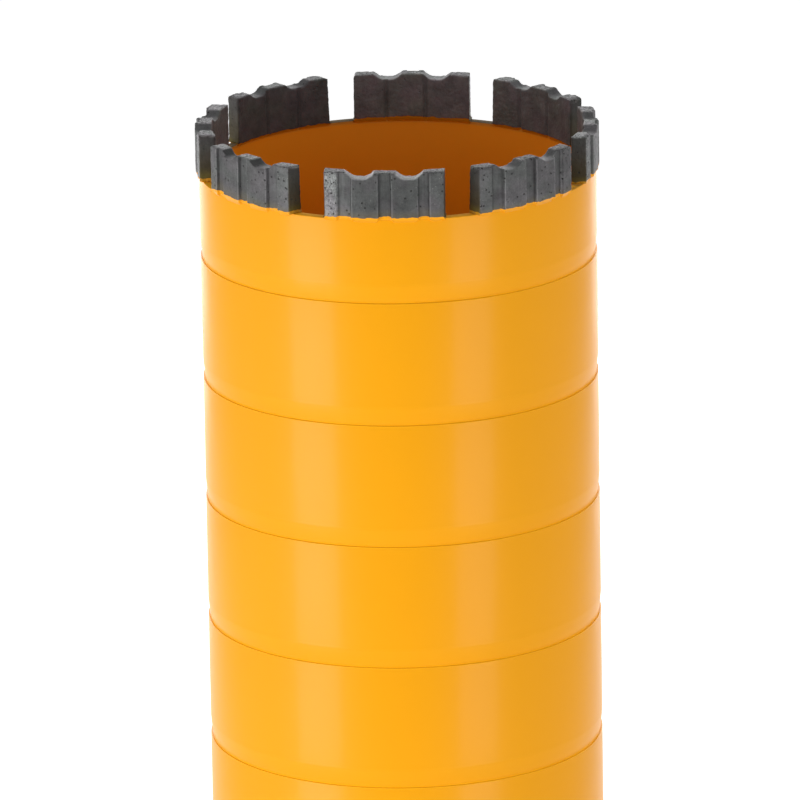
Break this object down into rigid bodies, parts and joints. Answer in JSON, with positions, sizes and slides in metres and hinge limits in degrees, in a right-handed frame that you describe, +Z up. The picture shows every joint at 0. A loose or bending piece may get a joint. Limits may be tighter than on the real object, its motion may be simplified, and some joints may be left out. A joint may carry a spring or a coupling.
{
  "type": "diamond core bit",
  "caption": "Long ringed steel barrel with ribbed, notched diamond segments on its rim, a welded back plate and a threaded hexagonal hub.",
  "frame": {"origin": "middle of the hub's end face, which the bit stands on", "axes": "+Z up along the barrel to the crown, -Y is the front that the picture shows"},
  "size_m": [0.082, 0.082, 0.4153],
  "materials": {
    "barrel_paint": "satin yellow-orange paint",
    "hub_steel": "turned and milled",
    "sintered_grit": "sintered metal with grit and pits"
  },
  "bodies": {
    "root": {"barrel": "barrel_paint", "back_plate": "barrel_paint", "barrel_weld": "barrel_paint", "hub": "hub_steel", "hub_weld": "barrel_paint", "segment_1": "sintered_grit", "segment_2": "sintered_grit", "segment_3": "sintered_grit", "segment_4": "sintered_grit", "segment_5": "sintered_grit", "segment_6": "sintered_grit", "segment_7": "sintered_grit", "segment_8": "sintered_grit"}
  },
  "joints": []
}
